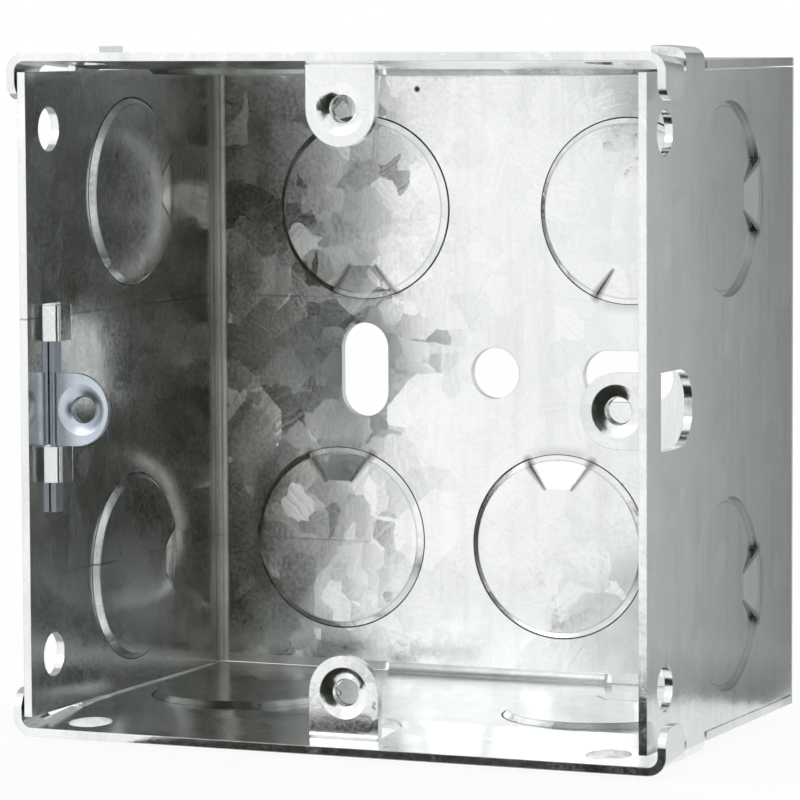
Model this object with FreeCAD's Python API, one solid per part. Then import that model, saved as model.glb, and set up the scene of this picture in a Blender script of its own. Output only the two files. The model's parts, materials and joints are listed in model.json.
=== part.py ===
"""Flush back box for one wiring accessory: a box folded from one galvanised sheet, with an adjustable lug.

Millimetres. +X is right, +Y is into the wall and +Z is up, seen from the open front.
The origin is the centre of the back's outer face, which sits against the masonry.
Depths are measured from the open rim towards the back.
"""
import FreeCAD, Part
import math
import os

from FreeCAD import Placement, Rotation, Vector

# Sheet and box
WIDTH = 70.0
HEIGHT = 70.0
DEPTH = 47.0
SHEET = 0.9
BEND_RADIUS = 1.0            # inside radius where the walls meet the back
SEAM = 0.15                  # open joint where two edges of the sheet meet
JOIN_WIDTH = 26.0            # stretch over which the top and bottom walls are bent out of the back
JOIN_RELIEF = 0.8            # width of the slits that end that stretch
RIM_FLARE = 1.0              # how far the rim of the top and bottom walls stands out
LANCE_GAP = 0.1              # shear clearance round lugs and straps

# Half-sheared knockouts
KNOCKOUT_D = 20.4
KNOCKOUT_STEP = 0.6          # how far a disc is pressed into the box
KNOCKOUT_ROLL = 0.6          # bevel round the pressed disc
BRIDGE_WIDTH = 7.6
BRIDGE_TAPER = 4.4           # how much narrower the bridge is at its inner end
BRIDGE_RAMP = 3.0
KNOCKOUT_SIDE = 20.6         # distance of a wall's knockouts from its centre line
KNOCKOUT_DEPTH = 24.5
BACK_UPPER_X = 15.8
BACK_UPPER_Z = 18.2
BACK_LOWER_LEFT_X = -18.9
BACK_LOWER_RIGHT_X = 7.7
BACK_LOWER_Z = -19.1

# Holes for fixing the box
BACK_HOLE_D = 5.7
BACK_SLOT_WIDTH = 5.7
BACK_SLOT_LENGTH = 10.6
BACK_SLOT_X = 15.8
WALL_HOLE_D = 4.7
SIDE_HOLE_INSET = 7.1        # from the ends of the side walls
SIDE_HOLE_DEPTH = 5.2
END_HOLE_INSET = 5.7         # from the ends of the top and bottom walls
END_HOLE_DEPTH = 4.2

# Lugs for the accessory's screws
LUG_INSET = 4.85             # screw holes behind the outer faces of their walls, 60.3 mm apart
LUG_DEPTH = 4.3              # front face of the lugs behind the rim
LUG_WIDTH = 7.8
LUG_BEND_RADIUS = 0.5
LUG_WINDOW_END = 13.4        # depth of the window that the lug leaves in its wall
THREAD_D = 2.9
THREAD_MOUTH_D = 5.4
THREAD_MOUTH_DEPTH = 0.55
THREAD_MOUTH_DIP = 0.2       # depth halfway from the mouth's edge to the thread
COLLAR_D = 4.6
COLLAR_LENGTH = 0.9

# Adjustable lug and the straps that hold it
SLIDER_SHEET = 0.6
SLIDER_WIDTH = 7.7
SLIDER_TIP = 3.2             # lug beyond the centre of its hole
SLIDER_LENGTH = 22.0
SLIDER_STRIP = 1.6           # width of the strip under the straps
SLIDER_SETBACK = 0.3         # strip's front edge behind the lug's front face
SLIDER_BEND_RADIUS = 0.4
SLIDER_PLAY = 0.1            # clearance of the strip in its straps, and of the lug at its stops
STRAP_SPACING = 11.2         # clear distance between the two straps
STRAP_HEIGHT = 3.8
STRAP_RAMP = 0.4
STRAP_ROUND = 0.6

# Folded corner tabs
TAB_WIDTH = 5.5
TAB_RADIUS = 1.1             # inside radius of the rim tabs
TAB_GAP_LEFT = 0.35          # between rim tabs and side wall
TAB_GAP_RIGHT = 1.1
TAB_LENGTH = 4.9             # rim tab's reach down the side wall
TAB_ROUND = 2.0
CLINCH_DEPTH = 11.5          # front edge of the side wall's tab
CLINCH_LENGTH = 3.8
CLINCH_LIFT = 0.3            # spring of the tab's end
CLINCH_RADIUS = 0.5
CLINCH_GAP = 0.2
NOTCH_PLAY = 0.8
NOTCH_ROUND = 0.6

# Worked out from the sizes above
RIM = -DEPTH
OUTER_RADIUS = BEND_RADIUS + SHEET
SIDE_HALF = HEIGHT / 2 - SHEET - SEAM
FLARE_RUN = KNOCKOUT_DEPTH - KNOCKOUT_D / 2 - NOTCH_PLAY
FLARE_SLOPE = RIM_FLARE / FLARE_RUN
STRAP_RISE = SHEET + SLIDER_SHEET + 2 * SLIDER_PLAY
SLIDER_X = -WIDTH / 2 + SHEET + SLIDER_PLAY
SLIDER_REST = -(STRAP_SPACING - SLIDER_WIDTH) / 2 + SLIDER_PLAY
BEYOND = 5.0                 # how far cutting shapes run past the sheet
TINY = 1e-6

X, Y, Z = Vector(1, 0, 0), Vector(0, 1, 0), Vector(0, 0, 1)
PLANES = {
    "XY": lambda a, b: Vector(a, b, 0),
    "YZ": lambda a, b: Vector(0, a, b),
    "XZ": lambda a, b: Vector(a, 0, b),
}


def rounded_face(plane, corners):
    """Flat face in a coordinate plane from corners (a, b, radius), each rounded by an arc."""
    points = [PLANES[plane](a, b) for a, b, _ in corners]
    turns = []
    for i, (_, _, radius) in enumerate(corners):
        here = points[i]
        if not radius:
            turns.append((here, None, here))
            continue
        back = (points[i - 1] - here).normalize()
        ahead = (points[(i + 1) % len(points)] - here).normalize()
        half = back.getAngle(ahead) / 2
        reach = radius / math.tan(half)
        inward = (back + ahead).normalize()
        middle = here + inward * (radius / math.sin(half) - radius)
        turns.append((here + back * reach, middle, here + ahead * reach))
    edges = []
    for i, (start, middle, end) in enumerate(turns):
        if turns[i - 1][2].distanceToPoint(start) > TINY:
            edges.append(Part.makeLine(turns[i - 1][2], start))
        if middle:
            edges.append(Part.Arc(start, middle, end).toShape())
    return Part.Face(Part.Wire(edges))


def block(x0, x1, y0, y1, z0, z1):
    return Part.makeBox(x1 - x0, y1 - y0, z1 - z0, Vector(x0, y0, z0))


def moved(shape, placement):
    copy = shape.copy()
    copy.Placement = placement.multiply(copy.Placement)
    return copy


def both_sides(shape, axis):
    return [shape, shape.mirror(Vector(), axis)]


def four_corners(shape):
    return [copy for half in both_sides(shape, X) for copy in both_sides(half, Z)]


def wall_frame(origin, across, along, inward):
    """Placement of a wall: local x runs across it, y along its depth and z into the box."""
    return Placement(origin, Rotation(across, along, inward, "ZXY"))


BACK = wall_frame(Vector(), X, Z, -Y)
RIGHT = wall_frame(Vector(WIDTH / 2, RIM, 0), Z, Y, -X)
LEFT = wall_frame(Vector(-WIDTH / 2, RIM, 0), -Z, Y, X)
TOP = wall_frame(Vector(0, RIM, HEIGHT / 2), -X, Y, -Z)
BOTTOM = wall_frame(Vector(0, RIM, -HEIGHT / 2), X, Y, Z)
SIDES = (RIGHT, LEFT)
ENDS = (TOP, BOTTOM)


def flare_at(depth):
    return max(0.0, FLARE_SLOPE * (FLARE_RUN - depth))


def back_and_sides():
    """The U of back and side walls, its back edges trimmed to the bend of the other two walls."""
    half = WIDTH / 2
    u_shape = rounded_face("XY", [
        (-half, RIM, 0), (-half, 0, OUTER_RADIUS), (half, 0, OUTER_RADIUS), (half, RIM, 0),
        (half - SHEET, RIM, 0), (half - SHEET, -SHEET, BEND_RADIUS),
        (SHEET - half, -SHEET, BEND_RADIUS), (SHEET - half, RIM, 0)])
    u_shape.translate(Vector(0, 0, -SIDE_HALF))
    walls = u_shape.extrude(Vector(0, 0, 2 * SIDE_HALF))
    outline = rounded_face("YZ", [
        (RIM, -HEIGHT / 2, 0), (0, -HEIGHT / 2, OUTER_RADIUS),
        (0, HEIGHT / 2, OUTER_RADIUS), (RIM, HEIGHT / 2, 0)])
    outline.translate(Vector(-half, 0, 0))
    walls = walls.common(outline.extrude(Vector(WIDTH, 0, 0)))
    reach = JOIN_WIDTH / 2 + JOIN_RELIEF
    opening = block(-reach, reach, -OUTER_RADIUS, BEYOND, HEIGHT / 2 - OUTER_RADIUS, HEIGHT / 2)
    for cut in both_sides(opening, Z):
        walls = walls.cut(cut)
    return walls


def top_wall():
    """Top wall: flat behind, flared towards the rim, and bent out of the back over its middle."""
    half = WIDTH / 2
    under = HEIGHT / 2 - SHEET
    stub = HEIGHT / 2 - OUTER_RADIUS - SHEET
    bend = rounded_face("YZ", [
        (RIM + FLARE_RUN, HEIGHT / 2, 0), (0, HEIGHT / 2, OUTER_RADIUS), (0, stub, 0),
        (-SHEET, stub, 0), (-SHEET, under, BEND_RADIUS), (RIM + FLARE_RUN, under, 0)])
    bend.translate(Vector(-half, 0, 0))
    flat = bend.extrude(Vector(WIDTH, 0, 0))
    for side in both_sides(block(JOIN_WIDTH / 2, half, -OUTER_RADIUS, BEYOND, stub, under), X):
        flat = flat.cut(side)
    plan = rounded_face("XY", [
        (-half, RIM, 0), (-half, 0, OUTER_RADIUS), (half, 0, OUTER_RADIUS), (half, RIM, 0)])
    plan.translate(Vector(0, 0, stub))
    flat = flat.common(plan.extrude(Vector(0, 0, HEIGHT / 2 - stub)))
    rim = rounded_face("XZ", [
        (-half, under + RIM_FLARE, 0), (half, under + RIM_FLARE, 0),
        (half, HEIGHT / 2 + RIM_FLARE, 0), (-half, HEIGHT / 2 + RIM_FLARE, 0)])
    rim.translate(Vector(0, RIM, 0))
    return flat.fuse(rim.extrude(Vector(0, FLARE_RUN, -RIM_FLARE)))


def rim_tab(gap):
    """Tab at the rim of the top wall that curls down outside the right wall."""
    top = HEIGHT / 2 + RIM_FLARE
    root = WIDTH / 2 - TAB_RADIUS
    inner = WIDTH / 2 + gap
    outer = inner + SHEET
    curl = rounded_face("XZ", [
        (root, top, 0), (outer, top, TAB_RADIUS + SHEET), (outer, top - TAB_LENGTH, 0),
        (inner, top - TAB_LENGTH, 0), (inner, top - SHEET, TAB_RADIUS), (root, top - SHEET, 0)])
    curl.translate(Vector(0, RIM, 0))
    tab = curl.extrude(Vector(0, TAB_WIDTH, -FLARE_SLOPE * TAB_WIDTH))
    outline = rounded_face("YZ", [
        (RIM, top, 0), (RIM, top - TAB_LENGTH, TAB_ROUND),
        (RIM + TAB_WIDTH, top - TAB_LENGTH, TAB_ROUND), (RIM + TAB_WIDTH, top, 0)])
    outline.translate(Vector(root, 0, 0))
    return tab.common(outline.extrude(Vector(outer - root, 0, 0)))


def clinch_tab():
    """Tab of the right wall that comes up through the top wall's notch and lies over its outer face."""
    half = WIDTH / 2
    under = HEIGHT / 2 + flare_at(CLINCH_DEPTH) + CLINCH_GAP
    tip = half - CLINCH_LENGTH
    fold = rounded_face("XZ", [
        (half, SIDE_HALF - SHEET, 0), (half, under + SHEET, CLINCH_RADIUS + SHEET),
        (tip, under + SHEET + CLINCH_LIFT, 0), (tip, under + CLINCH_LIFT, 0),
        (half - SHEET, under, CLINCH_RADIUS), (half - SHEET, SIDE_HALF - SHEET, 0)])
    fold.translate(Vector(0, RIM + CLINCH_DEPTH, 0))
    return fold.extrude(Vector(0, TAB_WIDTH, 0))


def clinch_notch():
    """Notch in the top wall's right edge that lets the side wall's tab through."""
    front = RIM + CLINCH_DEPTH - NOTCH_PLAY
    back = RIM + CLINCH_DEPTH + TAB_WIDTH + NOTCH_PLAY
    inner = WIDTH / 2 - SHEET - CLINCH_RADIUS - CLINCH_GAP
    plan = rounded_face("XY", [
        (inner, front, NOTCH_ROUND), (inner, back, NOTCH_ROUND),
        (WIDTH / 2 + BEYOND, back, 0), (WIDTH / 2 + BEYOND, front, 0)])
    plan.translate(Vector(0, 0, SIDE_HALF + SEAM / 2))
    return plan.extrude(Vector(0, 0, SHEET + RIM_FLARE + SEAM))


def knockout():
    """Recess and boss of a disc pressed into the box, hinged on a bridge at its -y side."""
    radius = KNOCKOUT_D / 2
    recess = Part.makeCylinder(radius, KNOCKOUT_STEP)
    boss = Part.makeCone(radius, radius - KNOCKOUT_ROLL, KNOCKOUT_STEP)
    foot, head = BRIDGE_WIDTH / 2, (BRIDGE_WIDTH - BRIDGE_TAPER) / 2
    start = -math.sqrt(radius ** 2 - foot ** 2)
    end = start + BRIDGE_RAMP
    plan = rounded_face("XY", [
        (-foot, start - BEYOND, 0), (foot, start - BEYOND, 0), (foot, start, 0),
        (head, end, 0), (-head, end, 0), (-foot, start, 0)])
    slope = KNOCKOUT_STEP / BRIDGE_RAMP
    ramp = rounded_face("YZ", [
        (start - BEYOND, -slope * BEYOND, 0), (end, KNOCKOUT_STEP, 0), (start - BEYOND, KNOCKOUT_STEP, 0)])
    ramp.translate(Vector(-foot, 0, 0))
    plan.translate(Vector(0, 0, -BEYOND))
    bridge = ramp.extrude(Vector(BRIDGE_WIDTH, 0, 0)).common(plan.extrude(Vector(0, 0, 2 * BEYOND)))
    boss = boss.cut(bridge)
    boss.translate(Vector(0, 0, SHEET))
    return recess.cut(bridge), boss


def knockout_places():
    """Placement of every knockout, its bridge turned to the box's middle or to the back."""
    places = []
    for wall in SIDES + ENDS:
        for across in (-KNOCKOUT_SIDE, KNOCKOUT_SIDE):
            places.append(wall.multiply(Placement(Vector(across, KNOCKOUT_DEPTH, 0), Rotation(Z, 180))))
    for x in (-BACK_UPPER_X, BACK_UPPER_X):
        places.append(BACK.multiply(Placement(Vector(x, BACK_UPPER_Z, 0), Rotation())))
    for x in (BACK_LOWER_LEFT_X, BACK_LOWER_RIGHT_X):
        places.append(BACK.multiply(Placement(Vector(x, BACK_LOWER_Z, 0), Rotation(Z, 180))))
    return places


def slot(length, width):
    """Cutting shape of a round-ended slot along x."""
    a, b = length / 2, width / 2
    plan = rounded_face("XY", [(-a, -b, b), (a, -b, b), (a, b, b), (-a, b, b)])
    plan.translate(Vector(0, 0, -BEYOND))
    return plan.extrude(Vector(0, 0, 2 * BEYOND))


def fixing_holes():
    """Slots and hole through the back, and the two screw holes near the rim of each wall."""
    long_slot = slot(BACK_SLOT_LENGTH, BACK_SLOT_WIDTH)
    round_hole = Part.makeCylinder(BACK_HOLE_D / 2, 2 * BEYOND, Vector(0, 0, -BEYOND))
    holes = [
        moved(round_hole, BACK),
        moved(long_slot, BACK.multiply(Placement(Vector(-BACK_SLOT_X, 0, 0), Rotation(Z, 90)))),
        moved(long_slot, BACK.multiply(Placement(Vector(BACK_SLOT_X, 0, 0), Rotation())))]
    wall_hole = Part.makeCylinder(WALL_HOLE_D / 2, 2 * BEYOND, Vector(0, 0, -BEYOND))
    rows = (
        (SIDES, HEIGHT / 2 - SIDE_HOLE_INSET, SIDE_HOLE_DEPTH),
        (ENDS, WIDTH / 2 - END_HOLE_INSET, END_HOLE_DEPTH))
    for walls, offset, depth in rows:
        for wall in walls:
            for across in (-offset, offset):
                place = wall.multiply(Placement(Vector(across, depth, 0), Rotation()))
                holes.append(moved(wall_hole, place))
    return holes


def tongue(width, tip, root, thick):
    """Lug seen from the front: a strip from its root up to a round end, as a solid of some thickness."""
    half = width / 2
    plan = rounded_face("XZ", [(-half, root, 0), (half, root, 0), (half, tip, half), (-half, tip, half)])
    return plan.extrude(Vector(0, thick, 0))


def threaded_collar(sheet):
    """Formed screw hole along +y from a lug's front face: solid collar and the hole through it."""
    collar = Part.makeCylinder(COLLAR_D / 2, sheet + COLLAR_LENGTH, Vector(), Y)
    hole = Part.makeCylinder(THREAD_D / 2, 2 * BEYOND, Vector(0, -BEYOND, 0), Y)
    edge = Vector(THREAD_MOUTH_D / 2, 0, 0)
    dip = Vector((THREAD_MOUTH_D + THREAD_D) / 4, THREAD_MOUTH_DIP, 0)
    throat = Vector(THREAD_D / 2, THREAD_MOUTH_DEPTH, 0)
    floor = Vector(0, THREAD_MOUTH_DEPTH, 0)
    profile = Part.Wire([
        Part.makeLine(Vector(), edge), Part.Arc(edge, dip, throat).toShape(),
        Part.makeLine(throat, floor), Part.makeLine(floor, Vector())])
    mouth = Part.Face(profile).revolve(Vector(), Y, 360)
    return collar, hole.fuse(mouth)


def fixed_lug(reach, flare):
    """Lug bent in from a wall at a distance above the axis, flared out there, with the window it leaves."""
    front = RIM + LUG_DEPTH
    start = front - LUG_BEND_RADIUS
    centre = reach - LUG_INSET
    tip = centre - LUG_WIDTH / 2
    wall_out = reach + flare
    inside = wall_out - SHEET
    profile = rounded_face("YZ", [
        (start, wall_out, 0), (front + SHEET, wall_out, LUG_BEND_RADIUS + SHEET), (front + SHEET, tip, 0),
        (front, tip, 0), (front, inside, LUG_BEND_RADIUS), (start, inside, 0)])
    profile.translate(Vector(-LUG_WIDTH / 2, 0, 0))
    lug = profile.extrude(Vector(LUG_WIDTH, 0, 0))
    outline = tongue(LUG_WIDTH, tip, wall_out, SHEET + LUG_BEND_RADIUS)
    outline.translate(Vector(0, start, 0))
    lug = lug.common(outline)
    collar, hole = threaded_collar(SHEET)
    at_hole = Placement(Vector(0, front, centre), Rotation())
    lug = lug.fuse(moved(collar, at_hole)).cut(moved(hole, at_hole))
    half = LUG_WIDTH / 2 + LANCE_GAP
    end = RIM + LUG_WINDOW_END
    window = rounded_face("XY", [(-half, start, 0), (half, start, 0), (half, end, half), (-half, end, half)])
    window.translate(Vector(0, 0, wall_out - BEYOND))
    return lug, window.extrude(Vector(0, 0, 2 * BEYOND))


def straps():
    """Two straps pressed in from the left wall over the strip of the adjustable lug."""
    strip_front = LUG_DEPTH + SLIDER_SETBACK
    front = strip_front - SLIDER_PLAY - STRAP_RAMP
    back = strip_front + SLIDER_STRIP + SLIDER_PLAY + STRAP_RAMP
    parallel = SHEET * math.tan(math.atan2(STRAP_RISE, STRAP_RAMP) / 2)
    out, top = -WIDTH / 2, STRAP_RISE + SHEET - WIDTH / 2
    low = out + STRAP_RISE
    profile = rounded_face("XY", [
        (out, RIM + front - parallel, 0), (out, RIM + front, 0),
        (low, RIM + front + STRAP_RAMP, 0), (low, RIM + back - STRAP_RAMP, 0),
        (out, RIM + back, 0), (out, RIM + back + parallel, 0),
        (out + SHEET, RIM + back + parallel, 0), (top, RIM + back - STRAP_RAMP + parallel, STRAP_ROUND),
        (top, RIM + front + STRAP_RAMP - parallel, STRAP_ROUND), (out + SHEET, RIM + front - parallel, 0)])
    profile.translate(Vector(0, 0, STRAP_SPACING / 2))
    strap = profile.extrude(Vector(0, 0, STRAP_HEIGHT))
    window = block(
        out - BEYOND, out + BEYOND, RIM + front - parallel, RIM + back + parallel,
        STRAP_SPACING / 2 - LANCE_GAP, STRAP_SPACING / 2 + STRAP_HEIGHT + LANCE_GAP)
    return both_sides(strap, Z), both_sides(window, Z)


def box_body():
    """The folded box as one solid."""
    body = back_and_sides()
    body = body.multiFuse(both_sides(top_wall(), Z))
    top_lug, top_window = fixed_lug(HEIGHT / 2, flare_at(LUG_DEPTH - LUG_BEND_RADIUS))
    side_lug, side_window = fixed_lug(WIDTH / 2, 0)
    to_right = Placement(Vector(), Rotation(Y, 90))
    strap_pair, strap_windows = straps()
    recess, boss = knockout()
    places = knockout_places()
    cuts = fixing_holes() + strap_windows + four_corners(clinch_notch())
    cuts += both_sides(top_window, Z) + [moved(side_window, to_right)]
    cuts += [moved(recess, place) for place in places]
    for cut in cuts:
        body = body.cut(cut)
    adds = strap_pair + four_corners(clinch_tab())
    adds += both_sides(rim_tab(TAB_GAP_RIGHT), Z)
    adds += both_sides(rim_tab(TAB_GAP_LEFT).mirror(Vector(), X), Z)
    adds += both_sides(top_lug, Z) + [moved(side_lug, to_right)]
    adds += [moved(boss, place) for place in places]
    return body.multiFuse(adds).removeSplitter()


def adjustable_lug():
    """Lug whose strip slides up and down behind the straps of the left wall."""
    front = RIM + LUG_DEPTH
    strip_front = front + SLIDER_SETBACK
    strip_back = strip_front + SLIDER_STRIP
    centre = LUG_INSET - WIDTH / 2
    tip = centre + SLIDER_TIP
    profile = rounded_face("XY", [
        (SLIDER_X, strip_back, 0), (SLIDER_X, front, SLIDER_BEND_RADIUS + SLIDER_SHEET), (tip, front, 0),
        (tip, front + SLIDER_SHEET, 0), (SLIDER_X + SLIDER_SHEET, front + SLIDER_SHEET, SLIDER_BEND_RADIUS),
        (SLIDER_X + SLIDER_SHEET, strip_back, 0)])
    profile.translate(Vector(0, 0, -SLIDER_WIDTH / 2))
    lug = profile.extrude(Vector(0, 0, SLIDER_WIDTH))
    outline = tongue(SLIDER_WIDTH, tip, SLIDER_X, strip_back - front)
    outline.rotate(Vector(), Y, 90)
    outline.translate(Vector(0, front, 0))
    lug = lug.common(outline)
    half = SLIDER_LENGTH / 2
    lug = lug.fuse(block(SLIDER_X, SLIDER_X + SLIDER_SHEET, strip_front, strip_back, -half, half))
    collar, hole = threaded_collar(SLIDER_SHEET)
    at_hole = Placement(Vector(centre, front, 0), Rotation())
    lug = lug.fuse(moved(collar, at_hole)).cut(moved(hole, at_hole)).removeSplitter()
    lug.translate(Vector(0, 0, SLIDER_REST))
    return lug


os.makedirs("parts", exist_ok=True)
for node, shape in (("box_body", box_body()), ("adjustable_lug", adjustable_lug())):
    if len(shape.Solids) != 1:
        raise ValueError(node + " is not one solid")
    shape.Solids[0].exportStep("parts/" + node + ".step")
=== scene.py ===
"""Looks of the flush back box: galvanised sheet, plated lug, screw threads and knockout shear lines."""
import json
import math

import bmesh
import bpy
from mathutils import Matrix, Quaternion, Vector


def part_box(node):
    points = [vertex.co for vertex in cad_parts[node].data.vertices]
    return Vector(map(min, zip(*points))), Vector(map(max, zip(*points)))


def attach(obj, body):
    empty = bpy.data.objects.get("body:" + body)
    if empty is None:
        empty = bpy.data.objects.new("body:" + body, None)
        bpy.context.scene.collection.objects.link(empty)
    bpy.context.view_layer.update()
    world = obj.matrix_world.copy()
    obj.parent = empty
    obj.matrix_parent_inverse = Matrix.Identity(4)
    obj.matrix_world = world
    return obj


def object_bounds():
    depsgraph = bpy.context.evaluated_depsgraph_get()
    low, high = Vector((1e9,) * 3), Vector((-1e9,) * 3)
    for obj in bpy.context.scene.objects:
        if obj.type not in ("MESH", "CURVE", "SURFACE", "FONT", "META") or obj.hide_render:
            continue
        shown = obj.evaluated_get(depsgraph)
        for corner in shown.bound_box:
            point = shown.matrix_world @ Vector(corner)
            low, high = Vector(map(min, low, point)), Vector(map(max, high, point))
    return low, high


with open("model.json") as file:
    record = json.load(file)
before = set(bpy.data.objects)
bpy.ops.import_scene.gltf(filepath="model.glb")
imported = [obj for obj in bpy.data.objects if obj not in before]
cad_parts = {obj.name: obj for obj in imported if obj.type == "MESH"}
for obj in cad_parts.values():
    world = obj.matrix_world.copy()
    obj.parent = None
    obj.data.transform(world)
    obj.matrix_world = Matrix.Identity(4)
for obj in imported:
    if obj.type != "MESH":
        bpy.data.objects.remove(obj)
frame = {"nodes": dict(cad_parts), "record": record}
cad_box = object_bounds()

MM = 0.001

# Colour sockets of Blender's Mix node
MIX_SHARE, MIX_FIRST, MIX_SECOND = 0, 6, 7
MIX_RESULT = 2

# Camera
CAMERA_PLACE = Vector((191.34, -469.96, 39.30)) * MM
CAMERA_YAW = math.radians(23.391)
CAMERA_PITCH = math.radians(4.768)
CAMERA_ROLL = math.radians(-0.275)
CAMERA_LENS = 205.56
CAMERA_SENSOR = 36.0
CAMERA_NEAR = 0.01

# Studio: sizes of the cards are in mm
FLOOR_SIZE = 6.0
FLOOR_COLOUR = (0.90, 0.90, 0.90, 1.0)
FLOOR_WHITENESS = 0.90       # share of plain white in the floor as the camera and reflections see it
ROOM_LIGHT = 1.0
LAMP_PLACE = Vector((-0.6, -0.8, 0.5))
LAMP_TARGET = Vector((0.0, -0.02, 0.0))
LAMP_SIZE = 0.6
LAMP_POWER = 1.5
WHITE = (1.0, 1.0, 1.0, 1.0)
DIM = (0.06, 0.064, 0.057, 1.0)           # left edge of the dark card
DARK = (0.020, 0.021, 0.016, 1.0)         # shade of the cards that the left wall mirrors
DIM_GREY = (0.13, 0.135, 0.135, 1.0)      # left and right shade of those that the right wall mirrors
PALE_GREY = (0.76, 0.78, 0.78, 1.0)
PALE = (0.72, 0.74, 0.75, 1.0)            # right edge of the card that the right of the back mirrors
MID_GREY = (0.36, 0.38, 0.38, 1.0)        # screens beside and behind, which the outside mirrors
CARD_LIFT = 0.2                           # above the floor
LOW_TOP = 80.0                            # tops of the cards
HIGH_TOP = 120.0
SCREEN_TOP = 450.0
FRONT = -160.0                            # cards in front of the box
DARK_LEFT, DARK_MIDDLE, DARK_RIGHT = 22, 80, 280
PALE_ENDS = (-52, -20)
GREY_PLAN = ((40, 5), (100, 5), (100, 50), (45, 50))
DARK_FLOOR_PLAN = ((-24, -48), (70, -48), (200, FRONT), (DARK_LEFT, FRONT))
SCREEN_PLAN = ((-420, -60), (-260, 420), (260, 420), (420, -60))
FOOT_PLAN = ((-37, -45), (-37, 3), (37, 3), (37, -45))

# Sheet and knockouts of the box
SHEET = 0.9 * MM
KNOCKOUT_RADIUS = 10.2 * MM
BRIDGE_WIDTH = 7.6 * MM
BRIDGE_TAPER = 4.4 * MM
BRIDGE_RAMP = 3.0 * MM
SHEAR_LINE = 0.20 * MM       # width of the open shear line round a knockout, drawn dark as its painted shade
BRIDGE_LINE = 0.4            # share of that width at a bridge
LINE_CHANGE = 0.2            # share by which it changes across the knockout, wider on one side as painted shade
RING_STEPS = 96
SKIN = 0.01 * MM             # lift of thin pieces off the sheet
KNOCKOUT_SIDE = 20.6 * MM    # knockouts of a wall from its centre line
KNOCKOUT_DEPTH = 24.5 * MM   # from the rim
BOX_DEPTH = 47.0             # mm, like the sizes below
BACK_REACH = 2.5             # the back and its pressed discs, from its outer face
WALL_INSIDE = 32.5           # the walls and theirs, from the box's axis
BEVEL = 0.6                  # round a pressed disc
BEVEL_EASE = 3.0             # how far the press has smoothed it
RAMP_EASE = 4.0              # and the bridges of the walls
BOX_HALF = 35.0
BEND = 1.9                   # outside radius of the bends
CREASE = 0.80                # half width of the creases at a bridge
CREASE_END = 0.4             # share of it at their inner ends
CRESCENT_SHADE_WIDTH = 1.3         # painted shade in a crescent outside a bridge, past its ends and fading inside them
CRESCENT_SHADE_PAST = 0.6
CRESCENT_SHADE_FADE = 1.6
OUTLINE_SHADE_REACH = (0.14, 0.04) # where the painted shade line along the inner edge of a disc's bevel begins and is full
SHEARED_REACH = (0.3, 0.15)  # the same for the sheared walls round a disc
SHEARED_TURN = (0.5, 0.2)    # how square to its wall a face is, where it begins and ends
SOFT = 0.1                   # softness of the marks' edges
MILL_LINES = ((8.1, -14.0), (-19.4, -10.0))    # height, and where each ends
MILL_FADE = 6.0              # length over which they end
MILL_REACH = (0.16, 0.05)    # where a line begins and is full, from its middle
RUST_SPECKS = ((-9.3, 31.5), (-11.1, 23.9))
SPECK_REACH = (0.45, 0.2)    # where a speck begins and is full
SHADED_CORNER_LINE = (-34.0, -1.0, 0.0)
CORNER_SHADE_REACH = 24.0

# Grain of the noises, per mm
MILL_GRAIN = 0.22
CORNER_SHADE_GRAIN = 0.09
WANDER_GRAIN = 0.5
FINE_SCALE = 2.2
RUBBED_SCALE = (0.5, 0.5, 0.06)
PIT_SCALE = 0.33
PLATED_SCALE = 0.42
LINE_SCALE = 0.70

# Knockouts of the back, across and up
BACK_KNOCKOUTS = ((-15.8, 18.2), (15.8, 18.2), (-18.9, -19.1), (7.7, -19.1))

# Screw threads in the lugs
THREAD_PITCH = 0.6 * MM
THREAD_HEIGHT = 0.14 * MM
THREAD_STEPS = 40            # per turn
THREAD_FADE = 12             # steps over which its ends run out
THREAD_SECTION = ((0.0, -0.42), (-1.0, 0.0), (0.0, 0.42))    # inward in heights, along in pitches

# Marks and painted shade on the sheet: colour, and how strongly it shows
SCUFFS = (0.62, 0.63, 0.61, 1.0), 0.25
RUBBED = (0.60, 0.61, 0.58, 1.0), 0.25
MILL_LINE = (0.20, 0.20, 0.19, 1.0), 0.55
# painted shade line along the inner edge of a disc's bevel
OUTLINE_SHADE = (0.30, 0.31, 0.30, 1.0), 0.35
# painted shade of the crescent outside a bridge
CRESCENT_SHADE = (0.34, 0.37, 0.34, 1.0), 0.45
# painted shade in the creases beside a bridge
CREASE_SHADE = (0.14, 0.14, 0.12, 1.0), 0.80
# painted shade in the corner of the left wall and the back
CORNER_SHADE = (0.36, 0.36, 0.31, 1.0), 0.7
# bare cut steel of the sheared walls, darkened further as painted shade in the recess steps
SHEARED_STEEL_AND_SHADE = (0.30, 0.31, 0.31, 1.0), 0.85
PIT = (0.16, 0.13, 0.10, 1.0), 0.7
RUST = (0.06, 0.03, 0.02, 1.0), 1.0
WORN_EDGE = (0.90, 0.91, 0.93, 1.0), 0.6

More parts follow.
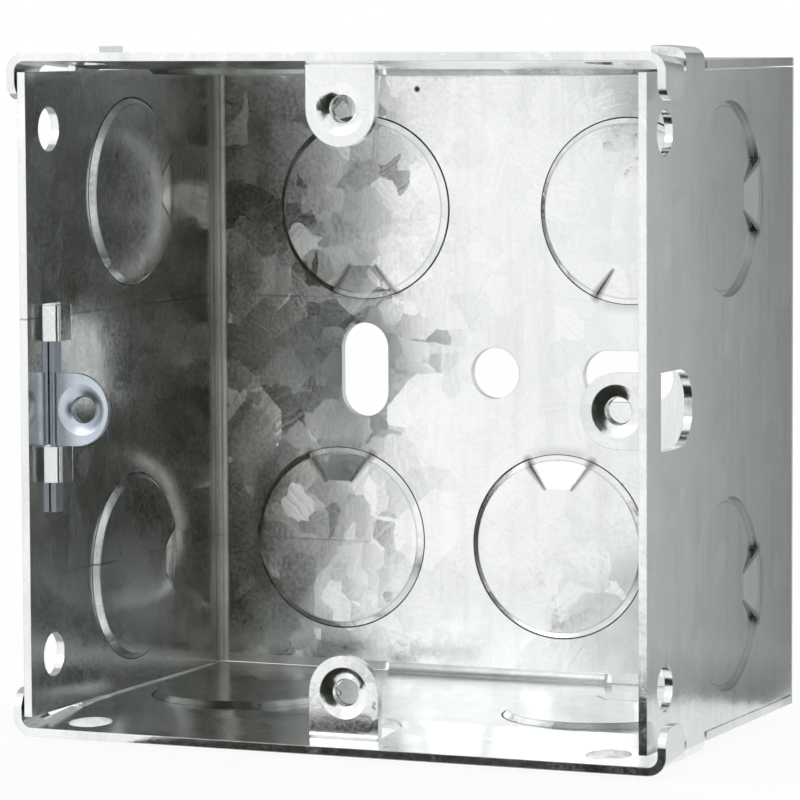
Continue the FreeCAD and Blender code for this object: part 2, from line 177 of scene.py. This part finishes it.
# Zinc
ZINC_DARK = (0.86, 0.885, 0.88, 1.0)
ZINC_LIGHT = (0.96, 0.975, 0.97, 1.0)
EDGE_ROUND = 0.12 * MM       # worn edges of the sheet
ZINC_ROUGHNESS = 0.15
CRYSTAL = 7.5                # mm, usual width of a spangle crystal
CRYSTAL_TILT = 0.070         # lean of the crystals' faces on the back
WALL_TILT = 0.015            # and on the walls, flattened by the folding tools
RAGGED = 0.8                 # mm that a crystal's edge wanders
SMALL_TURN = (0.6, 0.5, 0.7)
SMALL_SCALE = 2.1            # small crystals to a large one
SMALL_LEAN = 0.8             # share of the small crystals in a face's lean
STREAKS = 3.2                # feather streaks per mm
COMB = 2.4                   # how far a streak leans
STRAY = (0.35, 1.1)          # lean of a usual crystal, and what the rare steep ones add
SHEARED_ROUGHNESS = 0.25     # added on sheared walls and in the bends
BEND_ROUGHNESS = 0.30
FINE_GRAIN = 0.006 * MM      # height of the finest grain

# Plated steel, and shear lines dark with painted shade
PLATED_DARK = (0.50, 0.55, 0.62, 1.0)
PLATED_LIGHT = (0.62, 0.67, 0.75, 1.0)
PLATED_EDGE = (0.84, 0.87, 0.91, 1.0)
PLATED_GRAIN = 0.02 * MM
LINE_DARK = (0.02, 0.02, 0.02, 1.0)
LINE_LIGHT = (0.22, 0.21, 0.19, 1.0)


def new_group(name, inputs, outputs):
    """Empty shader group with its named sockets, given as (name, type, default)."""
    group = bpy.data.node_groups.new(name, "ShaderNodeTree")
    for socket, kind, value in inputs:
        made = group.interface.new_socket(socket, in_out="INPUT", socket_type="NodeSocket" + kind)
        if value is not None:
            made.default_value = value
    for socket, kind in outputs:
        group.interface.new_socket(socket, in_out="OUTPUT", socket_type="NodeSocket" + kind)
    return group, group.nodes.new("NodeGroupInput"), group.nodes.new("NodeGroupOutput")


def add(tree, kind, values=None, **settings):
    """New node with its settings; values fill its inputs, each a plain value or another node's socket."""
    node = tree.nodes.new("ShaderNode" + kind)
    for key, value in settings.items():
        setattr(node, key, value)
    for socket, value in (values or {}).items():
        if isinstance(value, bpy.types.NodeSocket):
            tree.links.new(value, node.inputs[socket])
        else:
            node.inputs[socket].default_value = value
    return node


def maths(tree, operation, *terms):
    node = add(tree, "Math", dict(enumerate(terms)), operation=operation)
    return node.outputs[0]


def vectors(tree, operation, *terms):
    node = add(tree, "VectorMath", dict(enumerate(terms)), operation=operation)
    return node.outputs["Value" if operation in ("DOT_PRODUCT", "LENGTH") else "Vector"]


def scaled(tree, vector, factor):
    return add(tree, "VectorMath", {0: vector, "Scale": factor}, operation="SCALE").outputs[0]


def centred(tree, colour):
    return vectors(tree, "SUBTRACT", colour, (0.5, 0.5, 0.5))


def spread(tree, value, low, high, to_low=0.0, to_high=1.0):
    """Value mapped from one range to another and kept inside it."""
    node = add(tree, "MapRange", {
        "Value": value, "From Min": low, "From Max": high, "To Min": to_low, "To Max": to_high})
    return node.outputs["Result"]


def pick(tree, share, first, second):
    """First value where share is 0, second where it is 1."""
    return maths(tree, "MULTIPLY_ADD", share, maths(tree, "SUBTRACT", second, first), first)


def apart(tree, vector):
    """The three parts of a vector."""
    return add(tree, "SeparateXYZ", {0: vector}).outputs


def blend(tree, share, first, second):
    """First colour where share is 0, second where it is 1."""
    node = add(tree, "Mix", data_type="RGBA", blend_type="MIX")
    for socket, value in ((MIX_SHARE, share), (MIX_FIRST, first), (MIX_SECOND, second)):
        if isinstance(value, bpy.types.NodeSocket):
            tree.links.new(value, node.inputs[socket])
        else:
            node.inputs[socket].default_value = value
    return node.outputs[MIX_RESULT]


def two_tone(tree, value, low, dark, high, light):
    """Colour that runs from dark at the low value to light at the high one."""
    ramp = add(tree, "ValToRGB", {"Fac": value})
    for stop, place, colour in zip(ramp.color_ramp.elements, (low, high), (dark, light)):
        stop.position = place
        stop.color = colour
    return ramp.outputs["Color"]


def spangle_group():
    """Zinc crystals: shards of two sizes, each with its own tone, feather streaks and tilt of its face."""
    group, given, out = new_group(
        "zinc_spangle",
        [("Crystal", "Float", CRYSTAL), ("Tilt", "Float", CRYSTAL_TILT), ("Normal", "Vector", None)],
        [("Tone", "Float"), ("Feather", "Float"), ("Normal", "Vector")])
    place = add(group, "TexCoord").outputs["Object"]
    in_mm = scaled(group, place, 1 / MM)
    wander = add(group, "TexNoise", {
        "Vector": in_mm, "Scale": WANDER_GRAIN, "Detail": 2.0, "Roughness": 0.6})
    ragged = vectors(group, "ADD", in_mm, scaled(group, centred(group, wander.outputs["Color"]), RAGGED))
    large_place = scaled(group, ragged, maths(group, "DIVIDE", 1.0, given.outputs["Crystal"]))
    large = add(group, "TexVoronoi", {"Vector": large_place, "Scale": 1.0}, distance="MANHATTAN")
    turned = add(group, "Mapping", {
        "Vector": large_place, "Rotation": SMALL_TURN, "Scale": (SMALL_SCALE, SMALL_SCALE, SMALL_SCALE)})
    small = add(group, "TexVoronoi", {"Vector": turned.outputs[0], "Scale": 1.0}, distance="CHEBYCHEV")
    small_aim = centred(group, small.outputs["Color"])
    aim = vectors(group, "ADD", centred(group, large.outputs["Color"]), scaled(group, small_aim, SMALL_LEAN))
    along = vectors(group, "DOT_PRODUCT", ragged, vectors(group, "NORMALIZE", small_aim))
    streak = add(group, "TexNoise", {"W": along, "Scale": STREAKS, "Detail": 4.0}, noise_dimensions="1D")
    streak = streak.outputs["Fac"]
    tone = vectors(group, "DOT_PRODUCT", aim, (0.4, 0.2, 0.2))
    group.links.new(maths(group, "ADD", tone, 0.5), out.inputs["Tone"])
    group.links.new(streak, out.inputs["Feather"])
    _, comb, chance = apart(group, small.outputs["Color"])
    combed = maths(group, "MULTIPLY", maths(group, "SUBTRACT", streak, 0.5), comb)
    usual, rare = STRAY
    stray = maths(group, "MULTIPLY_ADD", maths(group, "POWER", chance, 3.0), rare, usual)
    lean = maths(group, "MULTIPLY", given.outputs["Tilt"], maths(group, "MULTIPLY_ADD", combed, COMB, 1.0))
    lean = maths(group, "MULTIPLY", lean, stray)
    normal = vectors(group, "ADD", given.outputs["Normal"], scaled(group, aim, lean))
    group.links.new(vectors(group, "NORMALIZE", normal), out.inputs["Normal"])
    return group


def edge_group():
    """Sheared edges: where two faces of the sheet meet within a short distance."""
    group, given, out = new_group(
        "sheared_edge", [("Reach", "Float", EDGE_ROUND)], [("Edge", "Float"), ("Rounded", "Vector")])
    rounded = add(group, "Bevel", {"Radius": given.outputs["Reach"]}, samples=2)
    flat = add(group, "NewGeometry")
    turn = vectors(group, "DOT_PRODUCT", rounded.outputs["Normal"], flat.outputs["Normal"])
    group.links.new(spread(group, turn, 0.995, 0.8), out.inputs["Edge"])
    group.links.new(rounded.outputs["Normal"], out.inputs["Rounded"])
    return group


def knockout_marks_and_shade_group():
    """Marks of the press round each knockout, from the place on the back or on a wall; the crease, crescent
    and outline masks carry painted shade.
    """
    group, given, out = new_group(
        "knockout_marks_and_shade", [("Crease", "Float", CREASE)],
        [("Crease", "Float"), ("Crescent Shade", "Float"), ("Outline Shade", "Float"), ("Bend", "Float"),
         ("Flat", "Vector"), ("Sheared", "Float")])
    x, y, z = apart(group, scaled(group, add(group, "TexCoord").outputs["Object"], 1 / MM))
    on_back = maths(group, "GREATER_THAN", y, -BACK_REACH)
    on_side = maths(group, "GREATER_THAN", maths(group, "ABSOLUTE", x), WALL_INSIDE)
    upper = maths(group, "GREATER_THAN", z, 0.0)
    (_, _), (upper_x, upper_z), (left_x, lower_z), (right_x, _) = BACK_KNOCKOUTS
    right = maths(group, "GREATER_THAN", x, (left_x + right_x) / 2)
    wide = maths(group, "ABSOLUTE", x)
    high = maths(group, "ABSOLUTE", z)
    lower_across = maths(group, "SUBTRACT", x, pick(group, right, left_x, right_x))
    back_across = pick(group, upper, lower_across, maths(group, "SUBTRACT", wide, upper_x))
    lower_along = maths(group, "SUBTRACT", lower_z, z)
    back_along = pick(group, upper, lower_along, maths(group, "SUBTRACT", z, upper_z))
    wall_across = maths(group, "SUBTRACT", pick(group, on_side, wide, high), KNOCKOUT_SIDE / MM)
    wall_along = maths(group, "SUBTRACT", KNOCKOUT_DEPTH / MM - BOX_DEPTH, y)
    across = maths(group, "ABSOLUTE", pick(group, on_back, wall_across, back_across))
    along = pick(group, on_back, wall_along, back_along)
    radius = KNOCKOUT_RADIUS / MM
    reach = maths(group, "SQRT", maths(
        group, "MULTIPLY_ADD", across, across, maths(group, "MULTIPLY", along, along)))
    foot = BRIDGE_WIDTH / MM / 2
    head = (BRIDGE_WIDTH - BRIDGE_TAPER) / MM / 2
    start = -math.sqrt(radius ** 2 - foot ** 2)
    run = Vector((head - foot, BRIDGE_RAMP / MM))
    from_foot = maths(group, "SUBTRACT", across, foot), maths(group, "SUBTRACT", along, start)
    ahead = maths(group, "MULTIPLY_ADD", from_foot[0], run.x, maths(group, "MULTIPLY", from_foot[1], run.y))
    ahead = spread(group, maths(group, "DIVIDE", ahead, run.length_squared), 0.0, 1.0)
    aside = [maths(group, "MULTIPLY_ADD", ahead, -step, part) for step, part in zip(run, from_foot)]
    aside = maths(group, "SQRT", maths(
        group, "MULTIPLY_ADD", aside[0], aside[0], maths(group, "MULTIPLY", aside[1], aside[1])))
    crease_end = maths(group, "MULTIPLY", given.outputs["Crease"], CREASE_END)
    thick = pick(group, ahead, given.outputs["Crease"], crease_end)
    # mask of the painted shade along the creases of a bridge
    crease_shade = spread(group, maths(group, "DIVIDE", aside, thick), 1.0, 0.1)
    group.links.new(crease_shade, out.inputs["Crease"])
    # painted shade: a dull crescent just outside the disc at its bridge
    crescent_shade = spread(group, reach, radius + CRESCENT_SHADE_WIDTH, radius + SOFT)
    crescent_shade = maths(group, "MULTIPLY", crescent_shade, maths(group, "GREATER_THAN", reach, radius))
    within = spread(group, across, foot + CRESCENT_SHADE_PAST, foot - CRESCENT_SHADE_FADE)
    crescent_shade = maths(group, "MULTIPLY", crescent_shade, within)
    crescent_shade = maths(group, "MULTIPLY", crescent_shade, maths(group, "LESS_THAN", along, 0.0))
    group.links.new(crescent_shade, out.inputs["Crescent Shade"])
    # painted shade line where a disc meets its bevel
    off_line = maths(group, "ABSOLUTE", maths(group, "SUBTRACT", reach, radius - BEVEL))
    group.links.new(spread(group, off_line, *OUTLINE_SHADE_REACH), out.inputs["Outline Shade"])
    off_bevel = maths(group, "ABSOLUTE", maths(group, "SUBTRACT", reach, radius - BEVEL / 2))
    bevel = spread(group, off_bevel, BEVEL / 2 + SOFT, BEVEL / 2 - SOFT / 2, 0.0, BEVEL_EASE)
    off_back = maths(group, "SUBTRACT", 1.0, on_back)
    ramp_end = start + BRIDGE_RAMP / MM
    ramp = maths(group, "MULTIPLY", spread(group, across, foot + 3 * SOFT, foot - SOFT), off_back)
    short_of_end = spread(group, along, ramp_end + 6 * SOFT, ramp_end + SOFT, 0.0, RAMP_EASE)
    ramp = maths(group, "MULTIPLY", ramp, short_of_end)
    ramp = maths(group, "MULTIPLY", ramp, maths(group, "LESS_THAN", reach, radius + 2 * SOFT))
    eased = maths(group, "MAXIMUM", bevel, ramp)
    walls = (
        maths(group, "MULTIPLY", off_back, on_side), on_back,
        maths(group, "MULTIPLY", off_back, maths(group, "SUBTRACT", 1.0, on_side)))
    normal = apart(group, add(group, "TexCoord").outputs["Normal"])
    squareness = 0.0
    for wall, part in zip(walls, normal):
        squareness = maths(group, "MULTIPLY_ADD", wall, maths(group, "ABSOLUTE", part), squareness)
    off_rim = maths(group, "ABSOLUTE", maths(group, "SUBTRACT", reach, radius))
    # sheared walls: bare steel, and also painted shade in the recess steps
    sheared = maths(
        group, "MULTIPLY", spread(group, squareness, *SHEARED_TURN), spread(group, off_rim, *SHEARED_REACH))
    group.links.new(sheared, out.inputs["Sheared"])
    squared = add(group, "CombineXYZ")
    for wall, part, socket in zip(walls, normal, squared.inputs):
        group.links.new(maths(group, "MULTIPLY", wall, maths(group, "SIGN", part)), socket)
    group.links.new(scaled(group, squared.outputs[0], eased), out.inputs["Flat"])
    outward = maths(group, "MAXIMUM", wide, high)
    near_wall = spread(group, outward, BOX_HALF - BEND - 2 * SOFT, BOX_HALF - BEND)
    bend = maths(group, "MULTIPLY", spread(group, y, -BEND - 2 * SOFT, -BEND), near_wall)
    group.links.new(bend, out.inputs["Bend"])
    return group


def new_material(name):
    material = bpy.data.materials.new(name)
    material.use_nodes = True
    tree = material.node_tree
    return material, tree, tree.nodes["Principled BSDF"]


def sheet_lines(tree, place):
    """Faint dark mill lines round the left of the sheet, broken up along their run."""
    x, _, z = apart(tree, place)
    shown = None
    for height, right_end in MILL_LINES:
        off = maths(tree, "ABSOLUTE", maths(tree, "SUBTRACT", z, height))
        faded = spread(tree, x, right_end, right_end - MILL_FADE)
        line = maths(tree, "MULTIPLY", spread(tree, off, *MILL_REACH), faded)
        shown = line if shown is None else maths(tree, "ADD", shown, line)
    broken = add(tree, "TexNoise", {"Vector": place, "Scale": MILL_GRAIN, "Detail": 2.0})
    return maths(tree, "MULTIPLY", shown, spread(tree, broken.outputs["Fac"], 0.40, 0.62))


def painted_corner_shade(tree, place):
    """Painted shade in the corner of the left wall and the back, broken up by a cloud."""
    flat = vectors(tree, "MULTIPLY", vectors(tree, "SUBTRACT", place, SHADED_CORNER_LINE), (1.0, 1.0, 0.0))
    cloud = add(tree, "TexNoise", {"Vector": place, "Scale": CORNER_SHADE_GRAIN, "Detail": 3.0}).outputs["Fac"]
    shade = spread(tree, vectors(tree, "LENGTH", flat), CORNER_SHADE_REACH, 1.0)
    return maths(tree, "MULTIPLY", shade, spread(tree, cloud, 0.3, 0.6, 0.5, 1.0))


def rust_specks(tree, place):
    """Two dark specks on the back."""
    shown = None
    for x, z in RUST_SPECKS:
        off = vectors(tree, "LENGTH", vectors(tree, "SUBTRACT", place, (x, -SHEET / MM, z)))
        speck = spread(tree, off, *SPECK_REACH)
        shown = speck if shown is None else maths(tree, "MAXIMUM", shown, speck)
    return shown


def galvanised_sheet(spangle, edge, marks):
    """Hot-dip galvanised sheet with crystals, mill lines, press marks, specks and bright sheared edges, and
    painted shade in the knockouts' creases, crescents, outlines and sheared walls and in the corner of the
    left wall and the back.
    """
    material, tree, surface = new_material("galvanised_sheet")
    cut = add(tree, "Group", node_tree=edge)
    facing = apart(tree, add(tree, "TexCoord").outputs["Normal"])[1]
    tilt = spread(tree, maths(tree, "ABSOLUTE", facing), 0.0, 1.0, WALL_TILT, CRYSTAL_TILT)
    press = add(tree, "Group", node_tree=marks)
    smooth = vectors(tree, "NORMALIZE", vectors(tree, "ADD", cut.outputs["Rounded"], press.outputs["Flat"]))
    zinc = add(tree, "Group", {"Normal": smooth, "Tilt": tilt}, node_tree=spangle)
    place = scaled(tree, add(tree, "TexCoord").outputs["Object"], 1 / MM)
    tone = maths(tree, "MULTIPLY", zinc.outputs["Tone"], 0.6)
    tone = maths(tree, "MULTIPLY_ADD", zinc.outputs["Feather"], 0.4, tone)
    fine = add(tree, "TexNoise", {"Vector": place, "Scale": FINE_SCALE, "Detail": 3.0, "Roughness": 0.7})
    fine = fine.outputs["Fac"]
    rubbed = add(tree, "Mapping", {"Vector": place, "Scale": RUBBED_SCALE})
    rubbed = add(tree, "TexNoise", {"Vector": rubbed.outputs[0], "Scale": 1.0, "Detail": 3.0})
    pits = add(tree, "TexVoronoi", {"Vector": place, "Scale": PIT_SCALE})
    chance = apart(tree, pits.outputs["Color"])[0]
    pitted = spread(tree, pits.outputs["Distance"], 0.10, 0.04)
    base = two_tone(tree, tone, 0.25, ZINC_DARK, 0.75, ZINC_LIGHT)
    shown = (
        (spread(tree, fine, 0.55, 0.85), SCUFFS),
        (spread(tree, rubbed.outputs["Fac"], 0.50, 0.75), RUBBED),
        (sheet_lines(tree, place), MILL_LINE),
        (press.outputs["Outline Shade"], OUTLINE_SHADE),
        (press.outputs["Crescent Shade"], CRESCENT_SHADE),
        (press.outputs["Crease"], CREASE_SHADE),
        (painted_corner_shade(tree, place), CORNER_SHADE),
        (press.outputs["Sheared"], SHEARED_STEEL_AND_SHADE),
        (maths(tree, "MULTIPLY", pitted, spread(tree, chance, 0.90, 0.92)), PIT),
        (rust_specks(tree, place), RUST),
        (cut.outputs["Edge"], WORN_EDGE))
    for mask, (colour, share) in shown:
        base = blend(tree, maths(tree, "MULTIPLY", mask, share), base, colour)
    tree.links.new(base, surface.inputs["Base Color"])
    rough = spread(tree, tone, 0.2, 0.8, ZINC_ROUGHNESS + 0.05, ZINC_ROUGHNESS - 0.05)
    rough = maths(tree, "ADD", rough, spread(tree, fine, 0.3, 0.8, -0.03, 0.10))
    rough = maths(tree, "MULTIPLY_ADD", press.outputs["Sheared"], SHEARED_ROUGHNESS, rough)
    rough = maths(tree, "MULTIPLY_ADD", press.outputs["Bend"], BEND_ROUGHNESS, rough)
    tree.links.new(rough, surface.inputs["Roughness"])
    surface.inputs["Metallic"].default_value = 1.0
    grain = maths(tree, "MULTIPLY", fine, maths(tree, "SUBTRACT", 1.0, press.outputs["Bend"]))
    bump = add(tree, "Bump", {
        "Height": grain, "Distance": FINE_GRAIN, "Strength": 1.0, "Normal": zinc.outputs["Normal"]})
    tree.links.new(bump.outputs["Normal"], surface.inputs["Normal"])
    return material


def plated_steel(edge):
    """Zinc-plated steel of the adjustable lug."""
    material, tree, surface = new_material("lug_steel")
    cut = add(tree, "Group", node_tree=edge)
    place = add(tree, "TexCoord").outputs["Object"]
    cloud = add(tree, "TexNoise", {
        "Vector": place, "Scale": PLATED_SCALE / MM, "Detail": 5.0, "Roughness": 0.6})
    cloud = cloud.outputs["Fac"]
    base = two_tone(tree, cloud, 0.3, PLATED_DARK, 0.7, PLATED_LIGHT)
    base = blend(tree, maths(tree, "MULTIPLY", cut.outputs["Edge"], 0.5), base, PLATED_EDGE)
    tree.links.new(base, surface.inputs["Base Color"])
    tree.links.new(spread(tree, cloud, 0.3, 0.7, 0.34, 0.26), surface.inputs["Roughness"])
    surface.inputs["Metallic"].default_value = 1.0
    bump = add(tree, "Bump", {"Height": cloud, "Distance": PLATED_GRAIN, "Normal": cut.outputs["Rounded"]})
    tree.links.new(bump.outputs["Normal"], surface.inputs["Normal"])
    return material


def dark_line():
    """Shear line: the real cut, with the shade of its open gap painted in, slightly rusty."""
    material, tree, surface = new_material("shear_line_shade")
    place = add(tree, "TexCoord").outputs["Object"]
    cloud = add(tree, "TexNoise", {"Vector": place, "Scale": LINE_SCALE / MM, "Detail": 4.0}).outputs["Fac"]
    base = two_tone(tree, cloud, 0.35, LINE_DARK, 0.7, LINE_LIGHT)
    tree.links.new(base, surface.inputs["Base Color"])
    surface.inputs["Roughness"].default_value = 0.6
    surface.inputs["Metallic"].default_value = 0.4
    return material


def new_piece(name, mesh, material, body):
    """Object from a bmesh, with its finish, riding on a body."""
    data = bpy.data.meshes.new(name)
    mesh.to_mesh(data)
    mesh.free()
    data.materials.append(material)
    piece = bpy.data.objects.new(name, data)
    bpy.context.collection.objects.link(piece)
    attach(piece, body)
    return piece


def screw_thread(name, mount, centre, material, body):
    """Helical ridge inside a lug's screw hole, its axis along Y."""
    radius = mount["dims"]["r_mm"] * MM
    length = mount["dims"]["length_mm"] * MM
    ridge = bmesh.new()
    steps = int(THREAD_STEPS * length / THREAD_PITCH)
    rows = []
    for i in range(steps + 1):
        angle = 2 * math.pi * i / THREAD_STEPS
        along = -length / 2 + length * i / steps
        fade = min(1.0, i / THREAD_FADE, (steps - i) / THREAD_FADE)
        row = []
        for inward, shift in THREAD_SECTION:
            r = radius + inward * THREAD_HEIGHT * fade
            offset = Vector((r * math.cos(angle), along + shift * THREAD_PITCH, r * math.sin(angle)))
            offset.y = max(-length / 2, min(length / 2, offset.y))
            row.append(ridge.verts.new(centre + offset))
        rows.append(row)
    for a, b in zip(rows, rows[1:]):
        for k in range(len(THREAD_SECTION) - 1):
            face = ridge.faces.new((a[k], a[k + 1], b[k + 1], b[k]))
            face.smooth = False
    return new_piece(name, ridge, material, body)


def lay_ring(mesh, place):
    """Thin dark ring of painted shade on a wall round one knockout, finer over its bridge, which is at local
    -y.
    """
    rows = []
    for i in range(RING_STEPS):
        angle = 2 * math.pi * i / RING_STEPS
        across, along = math.cos(angle), math.sin(angle)
        bridged = along < 0 and abs(across) * KNOCKOUT_RADIUS < BRIDGE_WIDTH / 2
        width = SHEAR_LINE * (BRIDGE_LINE if bridged else 1 - LINE_CHANGE + LINE_CHANGE * across)
        pair = []
        for r in (KNOCKOUT_RADIUS - SKIN, KNOCKOUT_RADIUS + width):
            pair.append(mesh.verts.new(place @ Vector((r * across, r * along, SHEET + SKIN))))
        rows.append(pair)
    for a, b in zip(rows, rows[1:] + rows[:1]):
        mesh.faces.new((a[0], b[0], b[1], a[1]))


def wall_place(origin, across, along, inward):
    """Placement of a wall: local x runs across it, y along it and z into the box."""
    turn = Matrix((across, along, inward)).transposed().to_4x4()
    return Matrix.Translation(origin) @ turn


def shear_line_shades(material):
    """Shear lines of all twelve knockouts as one piece, dark with painted shade."""
    low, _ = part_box("box_body")
    rim = low.y
    x, y, z = Vector((1, 0, 0)), Vector((0, 1, 0)), Vector((0, 0, 1))
    half = BOX_HALF * MM
    mesh = bmesh.new()
    flip = Matrix.Rotation(math.pi, 4, "Z")
    walls = (
        wall_place(Vector((half, rim, 0)), z, y, -x), wall_place(Vector((-half, rim, 0)), -z, y, x),
        wall_place(Vector((0, rim, half)), -x, y, -z), wall_place(Vector((0, rim, -half)), x, y, z))
    for wall in walls:
        for side in (-KNOCKOUT_SIDE, KNOCKOUT_SIDE):
            lay_ring(mesh, wall @ Matrix.Translation((side, KNOCKOUT_DEPTH, 0)) @ flip)
    back = wall_place(Vector(), x, z, -y)
    for across, up in BACK_KNOCKOUTS:
        turn = Matrix() if up > 0 else flip
        lay_ring(mesh, back @ Matrix.Translation((across * MM, up * MM, 0)) @ turn)
    return new_piece("shear_line_shades", mesh, material, "box")


def seen_by_eye(tree):
    """1 for rays from the camera, or mirrored or passed on by metal and glass; 0 for diffuse light."""
    path = add(tree, "LightPath")
    shown = maths(tree, "MAXIMUM", path.outputs["Is Camera Ray"], path.outputs["Is Glossy Ray"])
    return maths(tree, "MAXIMUM", shown, path.outputs["Is Transmission Ray"])


def white_room():
    world = bpy.data.worlds.new("white_room")
    bpy.context.scene.world = world
    world.use_nodes = True
    tree = world.node_tree
    light = tree.nodes["Background"]
    light.inputs["Color"].default_value = WHITE
    light.inputs["Strength"].default_value = ROOM_LIGHT
    shown = add(tree, "Background", {"Color": WHITE, "Strength": 1.0})
    mix = add(tree, "MixShader", {0: seen_by_eye(tree), 1: light.outputs[0], 2: shown.outputs[0]})
    tree.links.new(mix.outputs[0], tree.nodes["World Output"].inputs["Surface"])


def pale_floor(height):
    material, tree, surface = new_material("pale_floor")
    tree.nodes.remove(surface)
    matt = add(tree, "BsdfDiffuse", {"Color": FLOOR_COLOUR})
    shown = add(tree, "Emission", {"Color": WHITE, "Strength": 1.0})
    share = maths(tree, "MULTIPLY", seen_by_eye(tree), FLOOR_WHITENESS)
    mix = add(tree, "MixShader", {0: share, 1: matt.outputs[0], 2: shown.outputs[0]})
    tree.links.new(mix.outputs[0], tree.nodes["Material Output"].inputs["Surface"])
    bpy.ops.mesh.primitive_plane_add(size=FLOOR_SIZE, location=(0, 0, height))
    floor = bpy.context.object
    floor.name = "floor"
    floor.data.materials.append(material)


def upright(left, right, low, high):
    """Corners of a card standing between two points of the plan."""
    return [(*left, low), (*right, low), (*right, high), (*left, high)]


def level(plan, height):
    """Corners of a card lying at one height."""
    return [(*corner, height) for corner in plan]


def card(name, corners, left_shade, right_shade):
    """Four-cornered card that only reflections show, shaded from its left to its right."""
    material, tree, surface = new_material(name)
    tree.nodes.remove(surface)
    across = apart(tree, add(tree, "TexCoord").outputs["Generated"])[0]
    shade = blend(tree, across, left_shade, right_shade)
    material.cycles.emission_sampling = "NONE"
    glow = add(tree, "Emission", {"Color": shade, "Strength": 1.0})
    tree.links.new(glow.outputs[0], tree.nodes["Material Output"].inputs["Surface"])
    data = bpy.data.meshes.new(name)
    data.from_pydata([Vector(corner) * MM for corner in corners], [], [(0, 1, 2, 3)])
    data.materials.append(material)
    made = bpy.data.objects.new(name, data)
    bpy.context.collection.objects.link(made)
    made.visible_camera = False
    made.visible_diffuse = False
    made.visible_shadow = False
    made.visible_transmission = False


def window_lamp():
    data = bpy.data.lights.new("window_lamp", "AREA")
    data.shape = "SQUARE"
    data.size = LAMP_SIZE
    data.energy = LAMP_POWER
    lamp = bpy.data.objects.new("window_lamp", data)
    lamp.location = LAMP_PLACE
    lamp.rotation_mode = "QUATERNION"
    lamp.rotation_quaternion = (LAMP_TARGET - LAMP_PLACE).to_track_quat("-Z", "Y")
    bpy.context.collection.objects.link(lamp)


def camera():
    data = bpy.data.cameras.new("camera")
    data.sensor_width = CAMERA_SENSOR
    data.lens = CAMERA_LENS
    data.clip_start = CAMERA_NEAR
    made = bpy.data.objects.new("camera", data)
    ahead = Vector((
        -math.sin(CAMERA_YAW) * math.cos(CAMERA_PITCH), math.cos(CAMERA_YAW) * math.cos(CAMERA_PITCH),
        -math.sin(CAMERA_PITCH)))
    made.rotation_mode = "QUATERNION"
    made.rotation_quaternion = ahead.to_track_quat("-Z", "Y") @ Quaternion((0, 0, 1), CAMERA_ROLL)
    made.location = CAMERA_PLACE
    bpy.context.collection.objects.link(made)
    bpy.context.scene.camera = made


def dress():
    edge = edge_group()
    sheet = galvanised_sheet(spangle_group(), edge, knockout_marks_and_shade_group())
    plated = plated_steel(edge)
    line = dark_line()
    frame["nodes"]["box_body"].data.materials[0] = sheet
    frame["nodes"]["adjustable_lug"].data.materials[0] = plated
    shear_line_shades(line)
    mounts = {mount["name"]: mount for mount in frame["record"]["mounts"]}
    moving = mounts["adjustable_lug_thread"]
    centre = Vector(moving["pos_m"])
    screw_thread("adjustable_lug_screw_thread", moving, centre, plated, "left_lug")
    fixed = mounts["right_lug_thread"]
    screw_thread("right_lug_screw_thread", fixed, Vector(fixed["pos_m"]), sheet, "box")
    reach = fixed["pos_m"][0]
    for name, side in (("top", 1), ("bottom", -1)):
        centre = Vector((0, fixed["pos_m"][1], side * reach))
        screw_thread(name + "_lug_screw_thread", fixed, centre, sheet, "box")


def cards(ground):
    """Cards and screens round the box: dark in front on the right, pale on the left, grey behind."""
    floor = ground + CARD_LIFT
    under = ground + CARD_LIFT / 2
    dark_left, dark_middle, dark_right = (DARK_LEFT, FRONT), (DARK_MIDDLE, FRONT), (DARK_RIGHT, FRONT)
    card("dim_card", upright(dark_left, dark_middle, floor, LOW_TOP), DIM, DARK)
    card("dark_card", upright(dark_middle, dark_right, floor, LOW_TOP), DARK, DARK)
    card("dark_floor_card", level(DARK_FLOOR_PLAN, floor), DARK, DARK)
    pale_left, pale_right = PALE_ENDS
    card("pale_card", upright((pale_left, FRONT), (pale_right, FRONT), floor, LOW_TOP), WHITE, PALE)
    card("grey_card", upright(GREY_PLAN[3], GREY_PLAN[2], floor, HIGH_TOP), DIM_GREY, PALE_GREY)
    card("grey_floor_card", level(GREY_PLAN, floor), DIM_GREY, PALE_GREY)
    shades = (PALE_GREY, MID_GREY), (MID_GREY, PALE_GREY), (PALE_GREY, MID_GREY)
    for i, side in enumerate(("left", "rear", "right")):
        start, end = SCREEN_PLAN[i:i + 2]
        near_start, near_end = FOOT_PLAN[i:i + 2]
        card(side + "_screen", upright(start, end, floor, SCREEN_TOP), *shades[i])
        card(side + "_floor_card", level((start, near_start, near_end, end), under), *shades[i])
    left, rear_left, rear_right, right = SCREEN_PLAN
    ceiling = (left[0], left[1]), (right[0], right[1]), (right[0], rear_right[1]), (left[0], rear_left[1])
    card("ceiling", level(ceiling, SCREEN_TOP), MID_GREY, PALE_GREY)


def studio():
    low, _ = cad_box
    white_room()
    pale_floor(low.z)
    cards(low.z / MM)
    window_lamp()
    camera()
    bpy.context.scene.view_settings.view_transform = "Standard"


dress()
studio()
